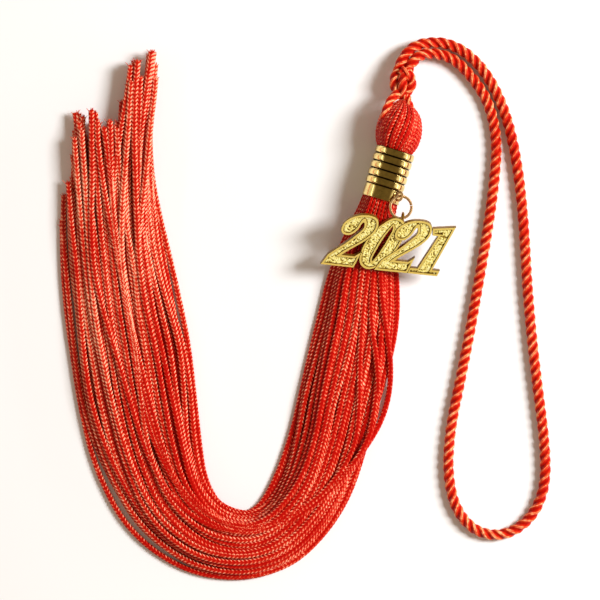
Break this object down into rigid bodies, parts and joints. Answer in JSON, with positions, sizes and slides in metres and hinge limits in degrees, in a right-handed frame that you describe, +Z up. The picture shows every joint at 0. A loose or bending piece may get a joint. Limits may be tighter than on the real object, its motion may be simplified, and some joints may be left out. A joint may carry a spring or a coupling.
{
  "type": "graduation tassel",
  "caption": "Rayon tassel laid flat: folded strands in a ribbed metal band, with a year charm on a jump ring and a twisted cord loop to hang it by.",
  "frame": {"origin": "on the table, under the middle of everything but the hanging cord", "axes": "+Z up from the table; +Y runs from the bend of the fringe towards the band and the tips; +X to the side that the hanging cord lies on"},
  "size_m": [0.1227, 0.1379, 0.013],
  "materials": {
    "gold_metal": "polished gold plate",
    "charm_metal": "granular gold face with a polished rim",
    "rayon": "lustrous rayon chainette",
    "cord": "lustrous twisted rayon cord"
  },
  "bodies": {
    "tassel": {"band": "gold_metal", "band_eyelet": "gold_metal", "neck_bundle": "rayon", "neck_binding": "rayon", "head_loops": "rayon", "skein_loop": "cord", "cord_knot": "cord", "hanging_cord": "cord", "strand_01": "rayon", "strand_02": "rayon", "strand_03": "rayon", "strand_04": "rayon", "strand_05": "rayon", "strand_06": "rayon", "strand_07": "rayon", "strand_08": "rayon", "strand_09": "rayon", "strand_10": "rayon", "strand_11": "rayon", "strand_12": "rayon", "strand_13": "rayon", "strand_14": "rayon", "strand_15": "rayon", "strand_16": "rayon", "strand_17": "rayon", "strand_18": "rayon", "strand_19": "rayon", "strand_20": "rayon", "strand_21": "rayon", "strand_22": "rayon", "strand_23": "rayon", "strand_24": "rayon", "strand_25": "rayon", "strand_26": "rayon", "strand_27": "rayon", "strand_28": "rayon", "strand_29": "rayon", "strand_30": "rayon", "strand_31": "rayon", "strand_32": "rayon", "strand_33": "rayon", "strand_34": "rayon", "strand_35": "rayon", "strand_36": "rayon", "strand_37": "rayon", "strand_38": "rayon", "strand_39": "rayon", "strand_40": "rayon", "strand_41": "rayon", "strand_42": "rayon", "strand_43": "rayon", "strand_44": "rayon", "strand_45": "rayon"},
    "ring": {"jump_ring": "gold_metal"},
    "charm": {"year_charm": "charm_metal"}
  },
  "joints": [
    {"name": "ring_swing", "type": "hinge", "parent": "tassel", "child": "ring", "pos_m": [0.03509, 0.02891, 0.00981], "axis": [-0.9562, -0.1658, 0.2413], "range_deg": [0, 75]},
    {"name": "charm_swing", "type": "hinge", "parent": "ring", "child": "charm", "pos_m": [0.03595, 0.02348, 0.00952], "axis": [-0.9921, 0.1043, 0.0698], "range_deg": [0, 40]}
  ]
}
